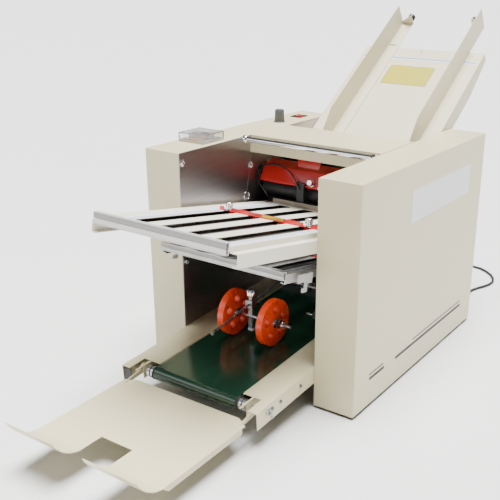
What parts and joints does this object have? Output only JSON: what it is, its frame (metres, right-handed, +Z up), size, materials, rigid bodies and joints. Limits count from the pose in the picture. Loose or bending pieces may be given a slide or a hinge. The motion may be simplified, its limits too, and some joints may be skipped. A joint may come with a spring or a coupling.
{
  "type": "paper folding machine",
  "caption": "Desk paper folding machine with feed table, staggered fold rollers, buckle fold plates, delivery conveyor, press wheels and a hinged exit tray.",
  "frame": {"origin": "middle of the machine's footprint at desk level, the mains lead left out", "axes": "+X towards the housing on the operator's right when facing the exit tray's front, +Y towards the feed table at the back, +Z up"},
  "size_m": [0.52, 1.4472, 0.7432],
  "materials": {
    "cream_powder_coat": "smooth semi-gloss powder coat",
    "plated_steel": "plated, faintly brushed",
    "polished_chrome": "polished",
    "satin_aluminium": "satin anodised",
    "black_rubber": "matt",
    "black_paint": "satin black",
    "green_belt": "glossy dark green belt",
    "orange_moulding": "moulded orange",
    "red_lacquer": "glossy red",
    "red_plastic": "moulded red",
    "grey_plastic": "moulded grey",
    "counter_grey": "moulded grey",
    "clear_plastic": "clear"
  },
  "bodies": {
    "chassis": {"left_frame_plate": "plated_steel", "right_frame_plate": "plated_steel", "left_housing": "cream_powder_coat", "right_housing": "cream_powder_coat", "foot_front_left": "black_rubber", "foot_front_right": "black_rubber", "foot_rear_left": "black_rubber", "foot_rear_right": "black_rubber", "front_tie_rod": "polished_chrome", "rear_panel": "cream_powder_coat", "feed_table": "cream_powder_coat", "separator_pad": "black_rubber", "upper_fold_plate": "satin_aluminium", "lower_fold_plate": "satin_aluminium", "rear_upper_fold_plate": "satin_aluminium", "rear_lower_fold_plate": "satin_aluminium", "roller_guard": "red_lacquer", "sheet_sensor": "black_paint", "conveyor_frame": "cream_powder_coat", "conveyor_belt": "green_belt", "drive_motor": "black_paint", "drive_belt": "black_rubber", "wheel_rod": "polished_chrome", "counter_base": "counter_grey", "cord_strain_relief": "black_rubber", "cord_free": "black_rubber", "cord_coil": "black_rubber", "cord_plug": "black_rubber"},
    "roller_1": {"fold_roller_1": "black_rubber", "roller_gear_1": "plated_steel"},
    "roller_2": {"fold_roller_2": "black_rubber", "roller_gear_2": "plated_steel"},
    "roller_3": {"fold_roller_3": "black_rubber", "roller_gear_3": "plated_steel"},
    "roller_4": {"fold_roller_4": "black_rubber", "roller_gear_4": "plated_steel"},
    "roller_5": {"fold_roller_5": "black_rubber", "roller_gear_5": "plated_steel"},
    "roller_6": {"fold_roller_6": "black_rubber", "roller_gear_6": "plated_steel"},
    "cover": {"top_cover": "cream_powder_coat"},
    "left_guide": {"left_side_guide": "cream_powder_coat"},
    "right_guide": {"right_side_guide": "cream_powder_coat"},
    "left_knob": {"left_guide_knob": "polished_chrome"},
    "right_knob": {"right_guide_knob": "polished_chrome"},
    "feed_wheel": {"feed_roller": "black_rubber"},
    "pulley": {"motor_pulley": "satin_aluminium"},
    "upper_stop": {"upper_stop_bar": "red_lacquer"},
    "upper_clamp_left": {"upper_stop_knob_left": "polished_chrome"},
    "upper_clamp_right": {"upper_stop_knob_right": "polished_chrome"},
    "lower_stop": {"lower_stop_bar": "red_lacquer"},
    "belt_front": {"conveyor_front_roller": "satin_aluminium"},
    "belt_rear": {"conveyor_rear_roller": "satin_aluminium"},
    "tray": {"exit_tray": "cream_powder_coat"},
    "carriage": {"wheel_carriage": "plated_steel"},
    "wheel_left": {"press_wheel_left": "orange_moulding"},
    "wheel_right": {"press_wheel_right": "orange_moulding"},
    "lid": {"counter_lid": "clear_plastic"},
    "knob": {"speed_knob": "grey_plastic"},
    "rocker": {"rocker_switch": "red_plastic"}
  },
  "joints": [
    {"name": "fold_roller_1_spin", "type": "hinge", "parent": "chassis", "child": "roller_1", "pos_m": [0, 0.10608, 0.3495], "axis": [1, 0, 0], "continuous": true},
    {"name": "fold_roller_2_spin", "type": "hinge", "parent": "chassis", "child": "roller_2", "pos_m": [0, 0.12388, 0.313], "axis": [1, 0, 0], "continuous": true},
    {"name": "fold_roller_3_spin", "type": "hinge", "parent": "chassis", "child": "roller_3", "pos_m": [0, 0.10608, 0.2765], "axis": [1, 0, 0], "continuous": true},
    {"name": "fold_roller_4_spin", "type": "hinge", "parent": "chassis", "child": "roller_4", "pos_m": [0, 0.12388, 0.24], "axis": [1, 0, 0], "continuous": true},
    {"name": "fold_roller_5_spin", "type": "hinge", "parent": "chassis", "child": "roller_5", "pos_m": [0, 0.10608, 0.2035], "axis": [1, 0, 0], "continuous": true},
    {"name": "fold_roller_6_spin", "type": "hinge", "parent": "chassis", "child": "roller_6", "pos_m": [0, 0.12388, 0.167], "axis": [1, 0, 0], "continuous": true},
    {"name": "feed_roller_spin", "type": "hinge", "parent": "chassis", "child": "feed_wheel", "pos_m": [0, 0.1879, 0.39984], "axis": [1, 0, 0], "continuous": true},
    {"name": "motor_pulley_spin", "type": "hinge", "parent": "chassis", "child": "pulley", "pos_m": [0, 0.28108, 0.09], "axis": [1, 0, 0], "continuous": true},
    {"name": "conveyor_front_spin", "type": "hinge", "parent": "chassis", "child": "belt_front", "pos_m": [0, -0.35908, 0.06682], "axis": [1, 0, 0], "continuous": true},
    {"name": "conveyor_rear_spin", "type": "hinge", "parent": "chassis", "child": "belt_rear", "pos_m": [0, 0.14002, 0.09677], "axis": [1, 0, 0], "continuous": true},
    {"name": "wheel_carriage_slide", "type": "slide", "parent": "chassis", "child": "carriage", "axis": [0, 0.9882, 0.153], "range_m": [0, 0.05]},
    {"name": "press_wheel_left_spin", "type": "hinge", "parent": "carriage", "child": "wheel_left", "pos_m": [-0.058, -0.16292, 0.14321], "axis": [1, 0, 0], "continuous": true},
    {"name": "press_wheel_right_spin", "type": "hinge", "parent": "carriage", "child": "wheel_right", "pos_m": [0.041, -0.16292, 0.14321], "axis": [1, 0, 0], "continuous": true},
    {"name": "top_cover_hinge", "type": "hinge", "parent": "chassis", "child": "cover", "pos_m": [0, 0.05098, 0.4657], "axis": [1, 0, 0], "range_deg": [0, 75]},
    {"name": "left_guide_slide", "type": "slide", "parent": "chassis", "child": "left_guide", "axis": [1, 0, 0], "range_m": [-0.045, 0.06]},
    {"name": "right_guide_slide", "type": "slide", "parent": "chassis", "child": "right_guide", "axis": [1, 0, 0], "range_m": [-0.08, 0.028]},
    {"name": "left_guide_knob_turn", "type": "hinge", "parent": "left_guide", "child": "left_knob", "pos_m": [-0.081, 0.66402, 0.7075], "axis": [0, 0.831, 0.5563], "range_deg": [-180, 180]},
    {"name": "right_guide_knob_turn", "type": "hinge", "parent": "right_guide", "child": "right_knob", "pos_m": [0.101, 0.66402, 0.7075], "axis": [0, 0.831, 0.5563], "range_deg": [-180, 180]},
    {"name": "upper_stop_slide", "type": "slide", "parent": "chassis", "child": "upper_stop", "axis": [0, 0.9848, -0.1736], "range_m": [-0.2, 0.15]},
    {"name": "lower_stop_slide", "type": "slide", "parent": "chassis", "child": "lower_stop", "axis": [0, 0.9848, -0.1736], "range_m": [-0.15, 0.13]},
    {"name": "upper_clamp_left_turn", "type": "hinge", "parent": "upper_stop", "child": "upper_clamp_left", "pos_m": [-0.084, -0.14281, 0.35879], "axis": [0, 0.1736, 0.9848], "range_deg": [-180, 180]},
    {"name": "upper_clamp_right_turn", "type": "hinge", "parent": "upper_stop", "child": "upper_clamp_right", "pos_m": [0.1131, -0.14281, 0.35879], "axis": [0, 0.1736, 0.9848], "range_deg": [-180, 180]},
    {"name": "exit_tray_hinge", "type": "hinge", "parent": "chassis", "child": "tray", "pos_m": [0, -0.35908, 0.06682], "axis": [-1, 0, 0], "range_deg": [-6, 70]},
    {"name": "counter_lid_hinge", "type": "hinge", "parent": "chassis", "child": "lid", "pos_m": [-0.214, -0.03592, 0.4823], "axis": [-1, 0, 0], "range_deg": [0, 100]},
    {"name": "speed_knob_turn", "type": "hinge", "parent": "chassis", "child": "knob", "pos_m": [-0.205, 0.21608, 0.4777], "axis": [0, 0, -1], "range_deg": [0, 270]},
    {"name": "rocker_switch_tilt", "type": "hinge", "parent": "chassis", "child": "rocker", "pos_m": [-0.211, 0.31308, 0.4777], "axis": [1, 0, 0], "range_deg": [0, 14]}
  ],
  "couplings": [
    {"joint": "fold_roller_2_spin", "follows": "fold_roller_1_spin", "ratio": -1},
    {"joint": "fold_roller_3_spin", "follows": "fold_roller_1_spin", "ratio": 1},
    {"joint": "fold_roller_4_spin", "follows": "fold_roller_1_spin", "ratio": -1},
    {"joint": "fold_roller_5_spin", "follows": "fold_roller_1_spin", "ratio": 1},
    {"joint": "fold_roller_6_spin", "follows": "fold_roller_1_spin", "ratio": -1},
    {"joint": "feed_roller_spin", "follows": "fold_roller_1_spin", "ratio": 0.90909},
    {"joint": "motor_pulley_spin", "follows": "fold_roller_1_spin", "ratio": -1.875},
    {"joint": "conveyor_front_spin", "follows": "fold_roller_1_spin", "ratio": -1.875},
    {"joint": "conveyor_rear_spin", "follows": "fold_roller_1_spin", "ratio": -1.875},
    {"joint": "press_wheel_left_spin", "follows": "fold_roller_1_spin", "ratio": 0.525},
    {"joint": "press_wheel_right_spin", "follows": "fold_roller_1_spin", "ratio": 0.525}
  ]
}
